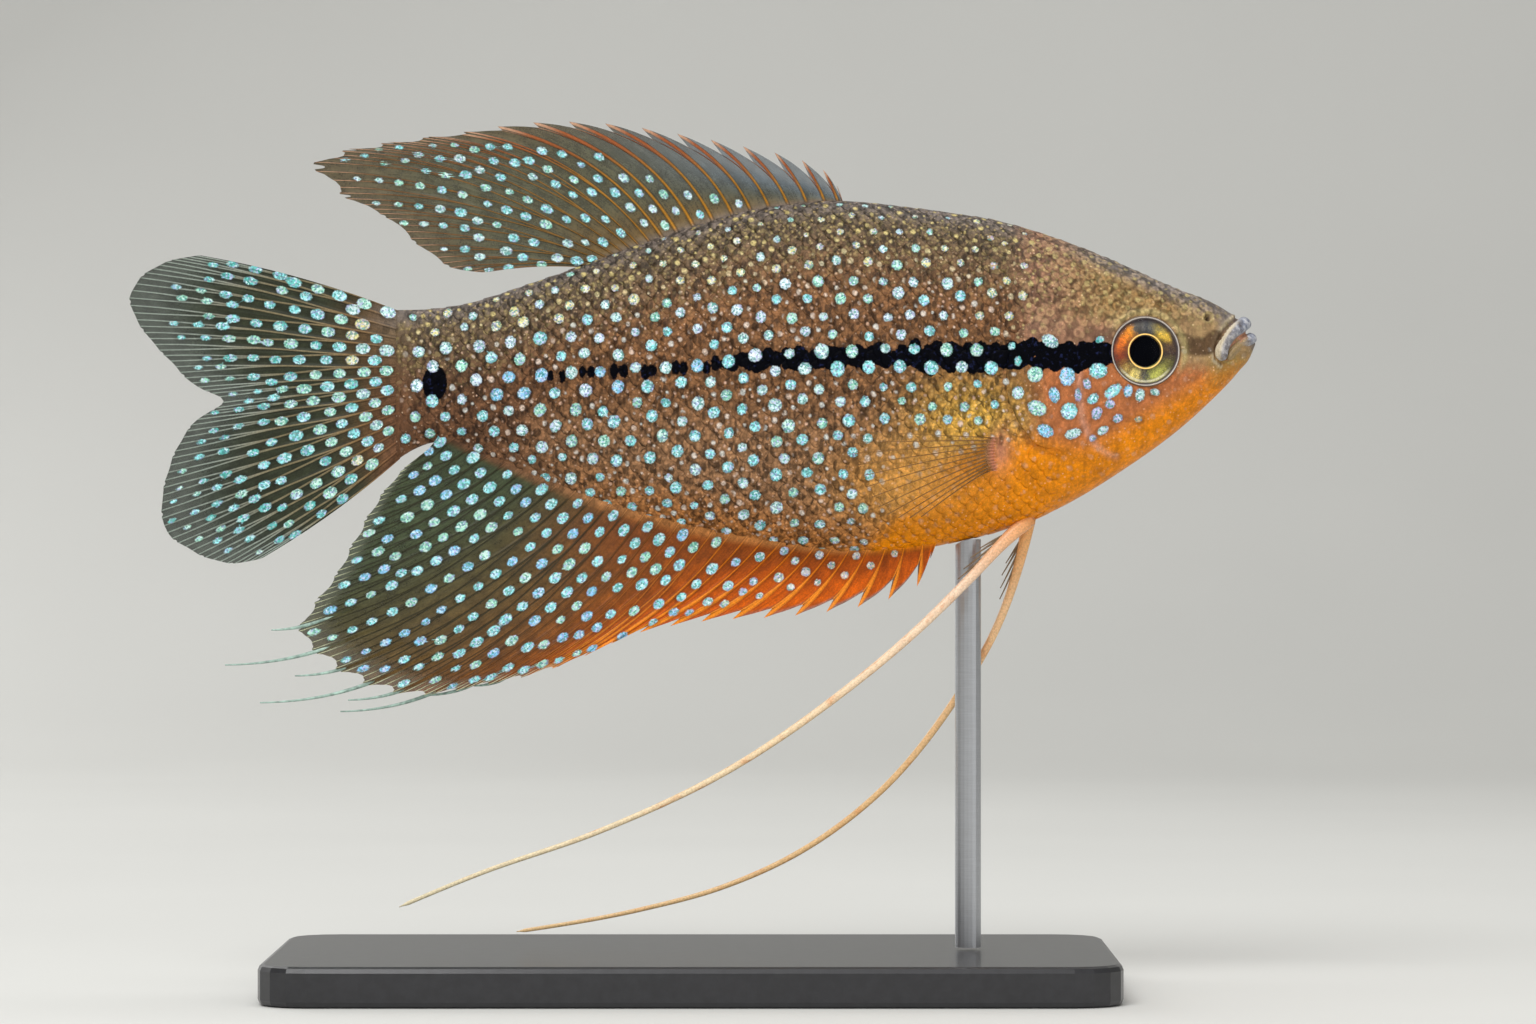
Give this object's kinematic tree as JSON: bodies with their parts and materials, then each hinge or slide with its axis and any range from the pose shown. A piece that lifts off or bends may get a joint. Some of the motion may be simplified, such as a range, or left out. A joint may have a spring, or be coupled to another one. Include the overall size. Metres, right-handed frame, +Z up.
{
  "type": "pearl gourami display model",
  "caption": "Life-size still model of an adult male pearl gourami with spread fins and long pelvic threads, held by a flat base and one short rod.",
  "frame": {"origin": "centre of the stand's underside, on the surface that the model stands on", "axes": "+X towards the fish's snout, +Y towards its left side, +Z up"},
  "size_m": [0.1131, 0.046, 0.087],
  "materials": {
    "head_skin": "satin painted fish skin, olive above and orange at the throat",
    "gill_skin": "satin painted fish skin with blue pearls",
    "flank_skin": "satin painted scales, brown with pale blue pearls and a dark stripe",
    "lip": "satin blue-grey",
    "eye": "polished, orange-brown iris and black pupil",
    "fin": "translucent smoky membrane with blue spots",
    "anal_fin": "translucent orange to smoky membrane with blue spots",
    "pectoral_fin": "clear thin membrane with fine brown rays",
    "pelvic_thread": "satin cream to orange",
    "stand_base": "fine satin black",
    "stand_rod": "brushed"
  },
  "bodies": {
    "root": {"head": "head_skin", "gill_cover_left": "gill_skin", "gill_cover_right": "gill_skin", "upper_lip": "lip", "lower_lip": "lip", "eye_left": "eye", "eye_right": "eye", "trunk": "flank_skin", "tail_stalk": "flank_skin", "dorsal_fin": "fin", "anal_fin": "anal_fin", "tail_fin": "fin", "pectoral_fin_left": "pectoral_fin", "pectoral_fin_right": "pectoral_fin", "pelvic_fin_left": "pelvic_thread", "pelvic_fin_right": "pelvic_thread", "pelvic_thread_left_1": "pelvic_thread", "pelvic_thread_left_2": "pelvic_thread", "pelvic_thread_left_3": "pelvic_thread", "pelvic_thread_right_1": "pelvic_thread", "pelvic_thread_right_2": "pelvic_thread", "pelvic_thread_right_3": "pelvic_thread", "stand_base": "stand_base", "stand_rod": "stand_rod"}
  },
  "joints": []
}
